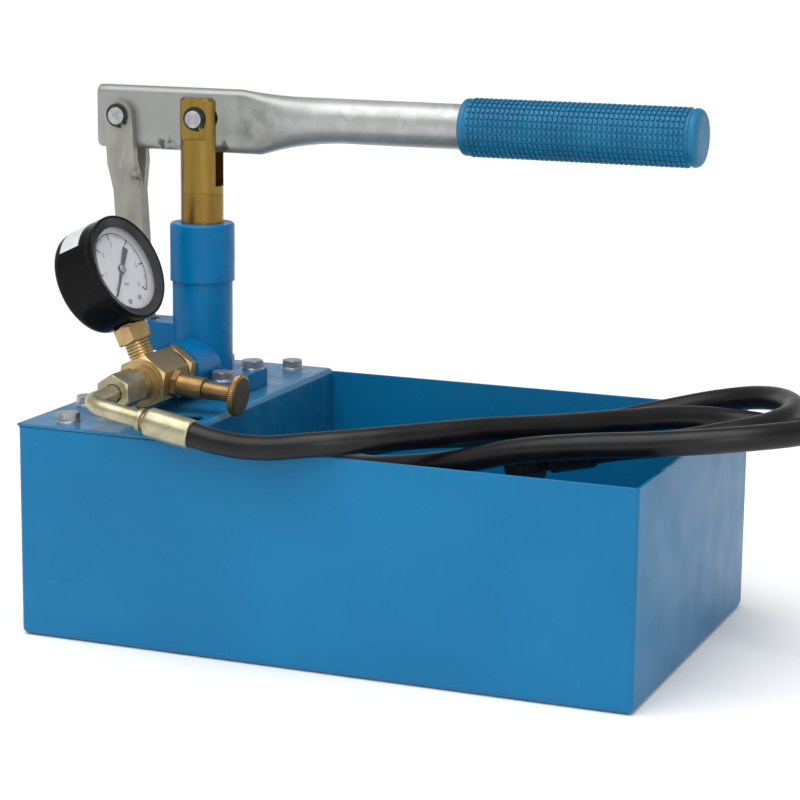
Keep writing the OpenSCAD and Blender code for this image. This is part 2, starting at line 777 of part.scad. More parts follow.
module hose_end_nipple() color(zinc)
    end_frame() difference() {
        union() {
            translate([0, 0, 1]) cylinder(d = 9.4, h = end_nut[0] + 6);
            translate([0, 0, end_ferrule + 0.6]) cylinder(d = 13, h = 2);
            translate([0, 0, end_nut[0] + 5.5]) cylinder(d = 12.2, h = 2);
            translate([0, 0, end_nut[0] + 7.5]) cylinder(d1 = 12.2, d2 = 9, h = 2);
        }
        cylinder(d = 6, h = 60);
    }

module hose_end_nut() color(zinc)
    end_frame() translate([0, 0, end_nut[1]]) rotate([180, 0, 0]) difference() {
        turned_hex(nut_af, end_nut[1] - end_nut[0]);
        translate([0, 0, -1]) cylinder(d = end_thread, h = end_nut[1] - end_seat + 1);
        translate([0, 0, end_nut[1] - end_seat - 0.01])
            cylinder(d = 12.9, h = end_seat - end_nut[0] - 5);
        translate([0, 0, 1]) cylinder(d = 9.6, h = 30);
    }

tank_shell();
tank_lid();
lid_bolts();
lid_nuts();
base_gasket();
pump_body();
flange_bolts();
flange_nuts();
packing_rings();
packing_follower();
gland_nut();
wiper_ring();
plunger();
plunger_pin();
plunger_pin_clips();
link_front_strap();
link_rear_strap();
link_pin();
link_pin_clips();
lug_pin();
lug_pin_clips();
handle_tube();
handle_grip();
suction_seat();
suction_ball();
ball_stop_pin();
suction_tube();
suction_strainer();
delivery_seat();
delivery_ball();
valve_body();
release_gland();
release_seal();
release_spindle();
release_knob();
gauge_socket();
gauge_case();
gauge_bezel();
gauge_window();
gauge_dial();
gauge_pointer();
gauge_movement();
bourdon_tube();
outlet_nut();
hose_elbow();
crimp_ferrule();
hose();
hose_end_ferrule();
hose_end_nipple();
hose_end_nut();
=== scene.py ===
"""Looks of the hand pump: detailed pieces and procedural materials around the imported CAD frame.

Shapes are worked out in millimetres, in the frame of part.scad: X along the tank,
Y to the back, Z up. finish_piece() turns them into metres. The camera, the floor
and the lights are placed in metres.
"""
import json
import math

import bmesh
import bpy
from mathutils import Matrix, Vector

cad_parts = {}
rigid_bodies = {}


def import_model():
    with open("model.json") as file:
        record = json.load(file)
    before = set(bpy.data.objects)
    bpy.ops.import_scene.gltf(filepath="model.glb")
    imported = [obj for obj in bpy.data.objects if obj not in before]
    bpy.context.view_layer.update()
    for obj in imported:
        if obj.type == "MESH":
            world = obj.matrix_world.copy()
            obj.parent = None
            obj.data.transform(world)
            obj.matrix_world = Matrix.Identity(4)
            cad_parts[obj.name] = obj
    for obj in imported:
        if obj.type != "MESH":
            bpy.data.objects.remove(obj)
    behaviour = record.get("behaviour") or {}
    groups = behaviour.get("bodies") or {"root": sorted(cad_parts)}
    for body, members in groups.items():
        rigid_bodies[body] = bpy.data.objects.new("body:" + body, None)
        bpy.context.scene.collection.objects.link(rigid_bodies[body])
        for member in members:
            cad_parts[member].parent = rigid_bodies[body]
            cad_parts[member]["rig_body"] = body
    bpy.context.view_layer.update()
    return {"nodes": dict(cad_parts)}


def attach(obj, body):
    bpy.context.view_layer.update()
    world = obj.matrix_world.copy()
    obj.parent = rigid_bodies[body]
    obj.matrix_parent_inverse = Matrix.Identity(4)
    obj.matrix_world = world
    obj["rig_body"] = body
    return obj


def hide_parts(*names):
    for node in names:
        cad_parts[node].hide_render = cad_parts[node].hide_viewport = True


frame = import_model()

MM = 0.001

# ---- places and sizes that part.scad gives, in millimetres ----

PUMP = Vector((-130, 20, 0))
VALVE = Vector((-130, -45, 138.5))
TANK = Vector((358, 224, 120))
SHEET = 1.5
TANK_CORNER = 3
LID_END = -88.0
LID_BOLTS = [(-156, -96), (-169, -50), (-169, 50), (-156, 102), (-109, 102)]
LID_BOLT_HOLE_R = 4.25
RIM_PLATE_OUTSIDE = Vector((-178.25, 111.25))
RIM_PLATE_INSIDE = Vector((-162, 88))
RIM_PLATE_END = -89
LUG_PIN = Vector((-172, 20, 153))
LINK_PIN = Vector((-180, 20, 282))
PLUNGER_PIN = Vector((-130, 20, 282))
WEAR_SLOT = Vector((-126.75, 20, 282.7))
WEAR_SLOT_SIZE = (18.9, 13.4)  # long, high
PIN_HOLE_R = 5.05
LEVER_Y = 20
LEVER_Z = 281
LEVER_TOP = (299.5, 296.7)  # at the flat end, at the tube
LEVER_BOTTOM = (262.5, 271.3)
LEVER_TOP_X = (-103, -65)  # where the top edge changes height
LEVER_BOTTOM_X = (-91, -35)
LEVER_SWELL_X = (-100, -50)  # where the flat bar becomes a tube
LEVER_END_X = 165.5
LEVER_TUBE_R = 12.7
GRIP_X = (34.0, 171.0)
GRIP_Z = 284
CLIP_BACK = 1.9
CLIP_PLACES = {
    "plunger_pin_clips": (PLUNGER_PIN, 11.9 - CLIP_BACK),
    "link_pin_clips": (LINK_PIN, 12.6 - CLIP_BACK),
    "lug_pin_clips": (LUG_PIN, 14.8 - CLIP_BACK),
}
KNOB_HEIGHT = (52.3, 56.7)  # along the release spindle
RELEASE_TILT = 95
GAUGE_LEAN = 25
GAUGE_TWIST = 6
GAUGE_UP = 64
CASE_R = 30.8
CASE_HALF = 15.5
BEZEL_BACK = CASE_HALF - 5
DIAL_FACE = 9.3
DIAL_TICK_R = 21.9
DIAL_ARC_R = (22.2, 21.6)
DIAL_FIGURE_R = 15.2
DIAL_UNIT_R = 9.0
DIAL_SCREW_R = 19
DIAL_SCREWS = (161, 191)  # degrees clockwise from the top
WINDOW_R = 27.7
WINDOW = (12.05, 12.9)  # back and front, along the gauge's axis
OUTLET_TILT = 10
OUTLET_Y = -122
FERRULE = (37, 65)  # start and end along the outlet
FAR_FERRULE_LENGTH = 25.9
FAR_FERRULE_FRONT = 26
HOSE_D = 13.4
HOSE_ROUTE = [
    (-66, -122, 127.2), (-50, -122, 124.4), (-26, -121, 123.5), (0, -116, 126.5),
    (24, -103, 128.3), (50, -82, 129.5), (78, -55, 130), (106, -28, 129),
    (136, 4, 128.5), (166, 30, 128.2), (194, 43, 125.5), (221, 42, 124),
    (244, 26, 128), (256, -1, 135), (254, -31, 141), (236, -57, 141.5),
    (207, -72, 139), (174, -76, 135), (138, -78, 131), (102, -78, 125),
    (66, -75, 115), (32, -70, 108), (4, -56, 103), (-16, -32, 101),
    (-20, -3, 100), (-6, 23, 101), (22, 36, 103), (54, 39, 106),
    (86, 44, 111), (116, 52, 117.5), (146, 61, 125), (174, 64, 132),
    (200, 56, 137.5), (220, 35, 140), (228, 7, 140), (221, -21, 138.5),
    (201, -42, 135.5), (176, -54, 131), (152, -58, 127.3), (138, -58, 124),
]


# ---- frames of the tilted pieces ----

def turn(degrees, axis):
    return Matrix.Rotation(math.radians(degrees), 4, axis)


def place(x, y, z):
    return Matrix.Translation((x, y, z))


# A piece's own +Z is the gauge's axis, the release spindle's or the hose end's. The outlet
# turns round its Y, and the hose's tail leaves it along its X.
GAUGE_STEM = Matrix.Translation(VALVE) @ turn(-GAUGE_LEAN, "Y") @ turn(-GAUGE_TWIST, "Z")
GAUGE = GAUGE_STEM @ place(0, 0, GAUGE_UP) @ turn(90, "Y")
RELEASE = Matrix.Translation(VALVE) @ turn(RELEASE_TILT, "Y")
OUTLET = place(PUMP.x, 0, VALVE.z) @ turn(OUTLET_TILT, "Y")
END_WAY = (Vector(HOSE_ROUTE[-1]) - Vector(HOSE_ROUTE[-2])).normalized()
END_TURN = END_WAY.to_track_quat("Z", "Y").to_matrix().to_4x4()
HOSE_END = Matrix.Translation(HOSE_ROUTE[-1]) @ END_TURN


# ---- camera ----

CAMERA_ANGLES = (21.88, 11.49, 0.633)  # azimuth, elevation and roll
CAMERA_PLACE = (0.5219, -1.2888, 0.4120)
CAMERA_LENS = 112.4
CAMERA_SENSOR = 36


def add_camera():
    """Camera at the photograph's viewing angle."""
    azimuth, elevation, roll = (math.radians(a) for a in CAMERA_ANGLES)
    back = Vector((math.sin(azimuth) * math.cos(elevation),
                   -math.cos(azimuth) * math.cos(elevation),
                   math.sin(elevation)))
    level = Vector((math.cos(azimuth), math.sin(azimuth), 0))
    upright = back.cross(level)
    right = level * math.cos(roll) + upright * math.sin(roll)
    up = upright * math.cos(roll) - level * math.sin(roll)
    camera = bpy.data.objects.new("camera", bpy.data.cameras.new("camera"))
    camera.data.sensor_width = CAMERA_SENSOR
    camera.data.lens = CAMERA_LENS
    rows = Matrix((right, up, back)).transposed().to_4x4()
    camera.matrix_world = Matrix.Translation(CAMERA_PLACE) @ rows
    bpy.context.scene.collection.objects.link(camera)
    bpy.context.scene.camera = camera


add_camera()


# ---- materials ----

# marks on the metal, as places in millimetres and bands along an axis in metres; the scorch mark
# on the lever is partly painted shade
SOOT_MARKS = ((-151, 14, 264), (-113, 14, 266))
SCORCH_AND_SHADE_MARK = (-98, 12, 281)
WELD_MARK = (-168, 12, 246)
LEVER_DARKER_X = (-0.05, -0.1)
PLUNGER_WET_Z = (0.2385, 0.2375)


def remap(node, low, high, bottom, top):
    """Sets a Map Range node to take low..high to bottom..top."""
    numbers = {"From Min": low, "From Max": high, "To Min": bottom, "To Max": top}
    for name, number in numbers.items():
        node.inputs[name].default_value = number


class Surface:
    """A procedural material being built. Its methods add nodes, and those that make a
    value return its socket."""

    def __init__(self, name, roughness=0.5, metallic=0.0, **settings):
        self.material = bpy.data.materials.new(name)
        self.material.use_nodes = True
        self.tree = self.material.node_tree
        self.shader = self.tree.nodes["Principled BSDF"]
        self.shader.inputs["Roughness"].default_value = roughness
        self.shader.inputs["Metallic"].default_value = metallic
        for socket, value in settings.items():
            self.shader.inputs[socket.replace("_", " ")].default_value = value
        self.where = self.tree.nodes.new("ShaderNodeTexCoord").outputs["Object"]

    def set(self, socket, value):
        """Links a socket to another one, or gives it a plain value."""
        if isinstance(value, bpy.types.NodeSocket):
            self.tree.links.new(value, socket)
        else:
            socket.default_value = value

    def stretched(self, stretch):
        """Object coordinates scaled along each axis."""
        node = self.tree.nodes.new("ShaderNodeMapping")
        self.set(node.inputs["Vector"], self.where)
        self.set(node.inputs["Scale"], stretch)
        return node.outputs["Vector"]

    def noise(self, scale, low=0.0, high=1.0, detail=3, stretch=None, offset=0.0):
        """Noise from 0 to 1, with the band from low to high spread over that range."""
        node = self.tree.nodes.new("ShaderNodeTexNoise")
        node.noise_dimensions = "4D"
        node.inputs["W"].default_value = offset
        node.inputs["Scale"].default_value = scale
        node.inputs["Detail"].default_value = detail
        self.set(node.inputs["Vector"], self.stretched(stretch) if stretch else self.where)
        return self.spread(node.outputs["Fac"], low, high)

    def cells(self, scale, low=0.0, high=1.0):
        """A random level for each cell, as zinc spangle has."""
        node = self.tree.nodes.new("ShaderNodeTexVoronoi")
        node.inputs["Scale"].default_value = scale
        self.set(node.inputs["Vector"], self.where)
        return self.spread(node.outputs["Color"], low, high)

    def spread(self, value, low, high, bottom=0.0, top=1.0):
        """The value with its band low..high stretched to bottom..top."""
        node = self.tree.nodes.new("ShaderNodeMapRange")
        remap(node, low, high, bottom, top)
        self.set(node.inputs["Value"], value)
        return node.outputs["Result"]

    def maths(self, operation, a, b=0.0):
        node = self.tree.nodes.new("ShaderNodeMath")
        node.operation = operation
        self.set(node.inputs[0], a)
        self.set(node.inputs[1], b)
        return node.outputs[0]

    def mix(self, factor, a, b):
        node = self.tree.nodes.new("ShaderNodeMix")
        node.data_type = "RGBA"
        self.set(node.inputs["Factor"], factor)
        self.set(node.inputs["A"], (*a, 1) if isinstance(a, tuple) else a)
        self.set(node.inputs["B"], (*b, 1) if isinstance(b, tuple) else b)
        return node.outputs["Result"]

    def tint(self, under, cover, strength, over):
        """The colour under, with a share of over where cover is high."""
        return self.mix(self.maths("MULTIPLY", cover, strength), under, over)

    def near(self, point, radius):
        """1 at a point given in millimetres, falling to 0 at the radius."""
        node = self.tree.nodes.new("ShaderNodeVectorMath")
        node.operation = "DISTANCE"
        self.set(node.inputs[0], self.where)
        node.inputs[1].default_value = Vector(point) * MM
        return self.spread(node.outputs["Value"], 0, radius * MM, 1, 0)

    def coordinate(self, axis):
        node = self.tree.nodes.new("ShaderNodeSeparateXYZ")
        self.set(node.inputs[0], self.where)
        return node.outputs[axis]

    def colour(self, value):
        self.set(self.shader.inputs["Base Color"], value)

    def rough(self, value):
        self.set(self.shader.inputs["Roughness"], value)

    def patchy_rough(self, scale, low, high, stretch=None):
        """Roughness that drifts between low and high."""
        self.rough(self.spread(self.noise(scale, offset=6, stretch=stretch), 0.3, 0.7, low, high))

    def relief(self, *layers, edge=0.35):
        """Bump layers, each (height socket, depth in mm), over edges rounded by edge mm."""
        normal = None
        if edge:
            node = self.tree.nodes.new("ShaderNodeBevel")
            node.samples = 4
            node.inputs["Radius"].default_value = edge * MM
            normal = node.outputs["Normal"]
        for height, depth in layers:
            node = self.tree.nodes.new("ShaderNodeBump")
            node.inputs["Distance"].default_value = depth * MM
            self.set(node.inputs["Height"], height)
            if normal:
                self.set(node.inputs["Normal"], normal)
            normal = node.outputs["Normal"]
        self.set(self.shader.inputs["Normal"], normal)
        return self.material


def linear(red, green, blue):
    """Linear colour from 0-255 display values."""
    def channel(value):
        value /= 255
        return value / 12.92 if value <= 0.04045 else ((value + 0.055) / 1.055) ** 2.4
    return tuple(channel(v) for v in (red, green, blue))


def sheet_paint():
    """The tank's smooth blue paint, with faint dust and upright scuffs."""
    s = Surface("sheet_paint", Specular_IOR_Level=0.25)
    tone = s.mix(s.noise(9, 0.35, 0.65), linear(0, 100, 146), linear(3, 108, 155))
    dust = s.noise(170, 0.62, 0.74, detail=6, offset=2)
    scuff = s.noise(60, 0.7, 0.74, detail=5, stretch=(0.4, 0.4, 3), offset=4)
    worn = s.tint(tone, dust, 0.16, linear(70, 140, 178))
    s.colour(s.tint(worn, scuff, 0.25, linear(8, 82, 126)))
    s.patchy_rough(40, 0.3, 0.42)
    return s.relief((s.noise(22, detail=1, offset=8), 0.22), (s.noise(1100, offset=9), 0.025))


def lid_paint():
    """The lid's paint, dustier and glossier than the tank's."""
    s = Surface("lid_paint", Specular_IOR_Level=0.45)
    tone = s.mix(s.noise(14, 0.35, 0.65), linear(4, 98, 142), linear(20, 108, 150))
    dust = s.noise(120, 0.48, 0.75, detail=6, offset=2)
    s.colour(s.tint(tone, dust, 0.28, linear(104, 138, 152)))
    s.patchy_rough(60, 0.24, 0.42)
    return s.relief((s.noise(26, detail=1, offset=8), 0.3), (s.noise(900, offset=9), 0.04))


def cast_paint():
    """Thick paint over the rough pump body, with a few pale chips."""
    s = Surface("cast_paint", Specular_IOR_Level=0.15)
    tone = s.mix(s.noise(30, 0.35, 0.65), linear(0, 102, 155), linear(2, 111, 166))
    chips = s.noise(220, 0.7, 0.74, detail=6, offset=3)
    s.colour(s.tint(tone, chips, 0.4, linear(50, 124, 168)))
    s.patchy_rough(80, 0.24, 0.4)
    peel, grain = s.noise(140, detail=4, offset=8), s.noise(900, offset=9)
    return s.relief((peel, 0.2), (grain, 0.05), edge=0.8)


def galvanised():
    """The lever's zinc: spangled, darker along the flat bar, with soot and a scorch mark that is
    partly painted shade where the bar swells into the tube.
    """
    s = Surface("galvanised", metallic=0.55, Specular_IOR_Level=0.6)
    spangle = s.mix(s.cells(200, 0.2, 0.8), linear(160, 163, 161), linear(174, 177, 175))
    drift = s.mix(s.noise(26, 0.4, 0.7, stretch=(0.3, 1, 1)), spangle, linear(144, 149, 147))
    streak = s.noise(70, 0.5, 0.72, detail=5, stretch=(0.12, 1, 1), offset=3)
    streaked = s.tint(drift, streak, 0.4, linear(200, 203, 201))
    marks = s.noise(190, 0.46, 0.6, detail=5, offset=5)
    near_pins = s.maths("MAXIMUM", *(s.near(mark, 8) for mark in SOOT_MARKS))
    soot = s.maths("MULTIPLY", near_pins, marks)
    clouds = s.noise(90, 0.42, 0.62, detail=5, offset=7)
    # painted shade: the scorch mark is widened and darkened over the swell from flat bar to tube,
    # standing in for the shade there
    scorch_and_shade = s.maths("MULTIPLY", s.near(SCORCH_AND_SHADE_MARK, 24), clouds)
    # the flat bar is tinted darker than the round tube
    pressed = s.spread(s.coordinate("X"), *LEVER_DARKER_X)
    darker_flat = s.tint(streaked, pressed, 0.75, linear(140, 142, 138))
    scorched_and_shaded = s.tint(darker_flat, scorch_and_shade, 0.9, linear(98, 108, 102))
    blackened = s.maths("MINIMUM", s.maths("MULTIPLY", soot, 2.4), 0.85)
    s.colour(s.mix(blackened, scorched_and_shaded, linear(56, 56, 54)))
    s.patchy_rough(60, 0.3, 0.44, stretch=(0.3, 1, 1))
    return s.relief((s.noise(50, detail=3, offset=8), 0.1), (s.noise(700, offset=9), 0.02), edge=0)


def grey_zinc():
    """The link's zinc, drawn out along Z, with a weld mark."""
    s = Surface("grey_zinc", metallic=0.6)
    clouds = s.noise(60, 0.35, 0.65, stretch=(1, 1, 0.4))
    tone = s.mix(clouds, linear(136, 136, 128), linear(158, 157, 148))
    scuff = s.noise(160, 0.64, 0.74, detail=6, stretch=(1, 1, 0.3), offset=3)
    scuffed = s.tint(tone, scuff, 0.35, linear(196, 195, 188))
    marks = s.noise(240, 0.42, 0.6, detail=5, offset=5)
    weld = s.maths("MULTIPLY", s.near(WELD_MARK, 7), marks)
    blackened = s.maths("MINIMUM", s.maths("MULTIPLY", weld, 2), 0.8)
    s.colour(s.mix(blackened, scuffed, linear(62, 60, 56)))
    s.patchy_rough(120, 0.42, 0.58)
    dents, grain = s.noise(90, detail=4, offset=8), s.noise(800, offset=9)
    return s.relief((dents, 0.08), (grain, 0.03), edge=0.5)


def bright_zinc():
    """Plated bolts, nuts and pins, a little grimy."""
    s = Surface("bright_zinc", metallic=0.8)
    tone = s.mix(s.noise(260, 0.35, 0.7, detail=5), linear(150, 150, 152), linear(186, 187, 190))
    grime = s.noise(400, 0.58, 0.75, detail=4, offset=3)
    s.colour(s.tint(tone, grime, 0.5, linear(84, 84, 84)))
    s.patchy_rough(300, 0.3, 0.46)
    return s.relief((s.noise(600, offset=8), 0.03), edge=0.4)


def yellow_zinc():
    """The hose tail's pale yellow plating."""
    s = Surface("yellow_zinc", metallic=0.72)
    tone = s.mix(s.noise(120, 0.35, 0.65, detail=4), linear(152, 146, 116), linear(178, 172, 146))
    film = s.noise(70, 0.5, 0.75, detail=3, offset=3)
    s.colour(s.tint(tone, film, 0.4, linear(128, 122, 94)))
    s.patchy_rough(260, 0.24, 0.38)
    return s.relief((s.noise(300, detail=1, offset=8), 0.01), edge=0.3)


def brass(name, turned, light, dark, shine=0.3):
    """Brass with lathe marks round the axis that turned names, tarnished in patches."""
    s = Surface(name, metallic=0.78)
    squeeze = {"X": (40, 1, 1), "Y": (1, 40, 1), "Z": (1, 1, 40)}[turned]
    lathe_marks = s.noise(60, 0.35, 0.65, detail=4, stretch=squeeze)
    tone = s.mix(lathe_marks, light, tuple(0.9 * c for c in light))
    tarnish = s.noise(75, 0.45, 0.72, detail=5, offset=3)
    s.colour(s.tint(tone, tarnish, 0.6, dark))
    s.rough(s.spread(tarnish, 0, 1, shine, shine + 0.16))
    return s.relief((lathe_marks, 0.01), (s.noise(300, detail=1, offset=8), 0.008), edge=0.3)


def plunger_brass():
    """Ground brass, streaked along Z, with a brown oil film on the part that enters the gland."""
    s = Surface("plunger_brass", metallic=1.0)
    streaks = s.noise(260, 0.3, 0.7, detail=4, stretch=(1, 1, 0.05))
    tone = s.mix(streaks, linear(150, 124, 62), linear(126, 102, 48))
    wet = s.spread(s.coordinate("Z"), *PLUNGER_WET_Z)
    oiled = s.tint(tone, wet, 0.35, linear(124, 90, 42))
    smear = s.noise(50, 0.55, 0.75, detail=3, offset=3)
    s.colour(s.tint(oiled, smear, 0.25, linear(112, 88, 44)))
    s.patchy_rough(60, 0.26, 0.36, stretch=(1, 1, 0.3))
    return s.relief((streaks, 0.006), (s.noise(500, offset=8), 0.006), edge=0.3)


def plain_rubber(name, colour, rough):
    s = Surface(name, Specular_IOR_Level=0.3)
    bloom = tuple(1.5 * c + 0.002 for c in colour)
    s.colour(s.mix(s.noise(60, 0.35, 0.7, detail=5), colour, bloom))
    s.patchy_rough(140, rough - 0.06, rough + 0.08)
    return s.relief((s.noise(700, offset=8), 0.03), edge=0.3)


def hose_rubber():
    s = Surface("hose_rubber", Specular_IOR_Level=0.28)
    s.colour(s.mix(s.noise(55, 0.4, 0.7, detail=5), linear(12, 12, 13), linear(22, 21, 22)))
    s.patchy_rough(90, 0.3, 0.42)
    cloth, grain = s.noise(160, detail=2, offset=8), s.noise(1500, offset=9)
    return s.relief((cloth, 0.08), (grain, 0.02), edge=0)


def grip_rubber():
    s = Surface("grip_rubber", Specular_IOR_Level=0.32)
    s.colour(s.mix(s.noise(45, 0.35, 0.65, detail=4), linear(14, 96, 134), linear(24, 110, 148)))
    s.patchy_rough(200, 0.4, 0.54)
    return s.relief((s.noise(900, offset=8), 0.03), edge=0)


def gloss_black(name, dark, light):
    """Stoved black enamel."""
    s = Surface(name, Specular_IOR_Level=0.12)
    s.colour(s.mix(s.noise(50, 0.4, 0.7, detail=4), dark, light))
    s.patchy_rough(160, 0.16, 0.28)
    return s.relief((s.noise(160, detail=2, offset=8), 0.03), edge=0.4)


def dark_steel():
    s = Surface("dark_steel", metallic=0.5)
    s.colour(s.mix(s.noise(300, 0.4, 0.7, detail=4), linear(30, 30, 32), linear(54, 54, 56)))
    s.patchy_rough(200, 0.36, 0.52)
    return s.relief((s.noise(700, offset=8), 0.03), edge=0.2)


def dial_enamel():
    s = Surface("dial_enamel", roughness=0.45, Specular_IOR_Level=0.3)
    s.colour(s.mix(s.noise(40, 0.4, 0.7), linear(214, 214, 218), linear(224, 224, 228)))
    return s.relief((s.noise(500, offset=8), 0.01), edge=0)


def ink():
    s = Surface("ink", roughness=0.6, Specular_IOR_Level=0.2)
    s.colour(s.mix(s.noise(600, 0.4, 0.7), linear(34, 34, 40), linear(60, 60, 68)))
    return s.relief((s.noise(900, offset=8), 0.005), edge=0)


def label_paper():
    s = Surface("label_paper", roughness=0.4)
    s.colour(s.mix(s.noise(300, 0.4, 0.7, detail=4), linear(200, 202, 204), linear(184, 186, 189)))
    return s.relief((s.noise(400, offset=8), 0.03), edge=0)


def clear_window():
    s = Surface("clear_window", Alpha=0.1, Specular_IOR_Level=0.5)
    s.colour(s.mix(s.noise(40, 0.4, 0.7), linear(190, 196, 202), linear(204, 208, 212)))
    s.patchy_rough(90, 0.03, 0.08)
    return s.relief((s.noise(30, offset=8), 0.02), edge=0)


def polished_steel():
    s = Surface("polished_steel", metallic=1.0)
    s.colour(s.mix(s.noise(200, 0.4, 0.7), linear(200, 202, 206), linear(214, 215, 218)))
    s.patchy_rough(300, 0.08, 0.16)
    return s.relief((s.noise(400, offset=8), 0.005), edge=0)


SHEET_PAINT = sheet_paint()
LID_PAINT = lid_paint()
CAST_PAINT = cast_paint()
GALVANISED = galvanised()
GREY_ZINC = grey_zinc()
BRIGHT_ZINC = bright_zinc()
YELLOW_ZINC = yellow_zinc()
OLD_BRASS = brass("old_brass", "Y", linear(194, 166, 116), linear(132, 108, 72))
DARK_BRASS = brass("dark_brass", "X", linear(156, 124, 78), linear(86, 66, 42), 0.32)
PLUNGER_BRASS = plunger_brass()
SEAL_RUBBER = plain_rubber("seal_rubber", linear(30, 30, 30), 0.7)
PAINTED_RUBBER = plain_rubber("painted_rubber", linear(10, 66, 100), 0.55)
HOSE_RUBBER = hose_rubber()
GRIP_RUBBER = grip_rubber()
GLOSS_BLACK = gloss_black("gloss_black", linear(6, 6, 7), linear(11, 11, 12))
# painted reflection: the funnel's black enamel is coloured grey to stand in for the light it
# reflects
FUNNEL_PAINTED_SHEEN = gloss_black("funnel_painted_sheen", linear(52, 52, 54), linear(66, 66, 68))
DARK_STEEL = dark_steel()
DIAL_ENAMEL = dial_enamel()
INK = ink()
LABEL_PAPER = label_paper()
CLEAR_WINDOW = clear_window()
POLISHED_STEEL = polished_steel()

CAD_LOOKS = {
    SHEET_PAINT: ["tank_shell"],
    LID_PAINT: ["tank_lid"],
    CAST_PAINT: ["pump_body", "gland_nut"],
    GREY_ZINC: ["link_front_strap", "link_rear_strap"],
    BRIGHT_ZINC: ["lid_bolts", "lid_nuts", "flange_bolts", "flange_nuts", "plunger_pin",
                  "link_pin", "lug_pin", "ball_stop_pin", "suction_strainer"],
    YELLOW_ZINC: ["outlet_nut", "hose_elbow", "crimp_ferrule"],
    PLUNGER_BRASS: ["plunger"],
    OLD_BRASS: ["valve_body", "gauge_socket", "packing_follower", "suction_seat", "suction_tube",
                "delivery_seat", "gauge_movement", "bourdon_tube"],
    DARK_BRASS: ["release_gland", "release_spindle", "release_knob"],
    PAINTED_RUBBER: ["base_gasket"],
    SEAL_RUBBER: ["packing_rings", "wiper_ring", "release_seal"],
    GLOSS_BLACK: ["gauge_case", "gauge_bezel"],
    GALVANISED: ["handle_tube"],
    GRIP_RUBBER: ["handle_grip"],
    HOSE_RUBBER: ["hose"],
    DARK_STEEL: ["plunger_pin_clips", "link_pin_clips", "lug_pin_clips", "hose_end_nipple",
                 "hose_end_nut", "hose_end_ferrule"],
    DIAL_ENAMEL: ["gauge_dial"],
    INK: ["gauge_pointer"],
    CLEAR_WINDOW: ["gauge_window"],
    POLISHED_STEEL: ["suction_ball", "delivery_ball"],
}
for look, names in CAD_LOOKS.items():
    for name in names:
        mesh = frame["nodes"][name].data
        mesh.materials.clear()
        mesh.materials.append(look)


# ---- mesh helpers, all in millimetres ----

def finish_piece(name, bm, body, material, matrix=None, crease=35):
    """Turns millimetre mesh work into a piece that rides on a body."""
    bmesh.ops.remove_doubles(bm, verts=bm.verts, dist=0.001)
    bmesh.ops.recalc_face_normals(bm, faces=bm.faces)
    bm.transform(Matrix.Scale(MM, 4) @ (matrix or Matrix.Identity(4)))
    mesh = bpy.data.meshes.new(name)
    bm.to_mesh(mesh)
    bm.free()
    mesh.shade_smooth()
    mesh.set_sharp_from_angle(angle=math.radians(crease))
    mesh.materials.append(material)
    piece = bpy.data.objects.new(name, mesh)
    bpy.context.scene.collection.objects.link(piece)
    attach(piece, body)
    return piece


def bridge(bm, rings, closed_path=False):
    """Faces between successive closed rings of vertices."""
    following = rings[1:] + rings[:1] if closed_path else rings[1:]
    for a, b in zip(rings, following):
        for i in range(len(a)):
            j = (i + 1) % len(a)
            bm.faces.new((a[i], a[j], b[j], b[i]))


def loft(bm, rings):
    """Faces between successive closed rings of vertices, and a cap at each end."""
    bridge(bm, rings)
    bm.faces.new(reversed(rings[0]))
    bm.faces.new(rings[-1])


def lathe(bm, profile, sides=96, closed=False, shape=None):
    """Revolves (radius, height) points about +Z. An open profile is capped at both ends.
    shape(radius, height, angle) may return another radius."""
    rings = []
    for radius, height in profile:
        ring = []
        for k in range(sides):
            angle = 2 * math.pi * k / sides
            r = shape(radius, height, angle) if shape else radius
            ring.append(bm.verts.new((r * math.cos(angle), r * math.sin(angle), height)))
        rings.append(ring)
    if closed:
        bridge(bm, rings, closed_path=True)
    else:
        loft(bm, rings)


def rounded(profile, radius, steps=4):
    """Rounds every corner of an open profile but its ends."""
    points = [Vector(p) for p in profile]
    made = [points[0]]
    for before, corner, after in zip(points, points[1:], points[2:]):
        a, b = (before - corner), (after - corner)
        reach = min(radius, a.length / 2, b.length / 2)
        start, end = corner + a.normalized() * reach, corner + b.normalized() * reach
        for i in range(steps + 1):
            t = i / steps
            made.append(start * (1 - t) ** 2 + corner * 2 * t * (1 - t) + end * t ** 2)
    made.append(points[-1])
    return [tuple(p) for p in made]


def rounded_loop(profile, radius, steps):
    """Rounds the corners of a closed profile, all but the first."""
    return rounded(profile + [profile[0]], radius, steps)[:-1]


def smoothstep(value, low, high):
    t = min(1, max(0, (value - low) / (high - low)))
    return t * t * (3 - 2 * t)


# ---- hose ----

def add_hose():
    """The hose as a round tube along its route, and the CAD fittings on its far end."""
    curve = bpy.data.curves.new("test_hose", "CURVE")
    curve.dimensions = "3D"
    curve.bevel_depth = HOSE_D / 2 * MM
    curve.bevel_resolution = 8
    curve.resolution_u = 10
    curve.use_fill_caps = True
    spline = curve.splines.new("BEZIER")
    spline.bezier_points.add(len(HOSE_ROUTE) - 1)
    for point, place_mm in zip(spline.bezier_points, HOSE_ROUTE):
        point.co = Vector(place_mm) * MM
        point.handle_left_type = point.handle_right_type = "AUTO"
    curve.materials.append(HOSE_RUBBER)
    hose = bpy.data.objects.new("test_hose", curve)
    bpy.context.scene.collection.objects.link(hose)
    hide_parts("hose")
    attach(hose, "pump_frame")
    fittings = [frame["nodes"][n] for n in ("hose_end_nipple", "hose_end_nut")]
    return hose, fittings


def crimped(radius, height, angle, start, end):
    """Radius of a sleeve pressed in by eight jaws between start and end."""
    depth, ramp = 0.55, 1.5
    pressed = smoothstep(height, start, start + ramp) * (1 - smoothstep(height, end - ramp, end))
    ridge = abs(math.sin(4 * angle)) ** 6
    return radius - depth * pressed * (1 - ridge)


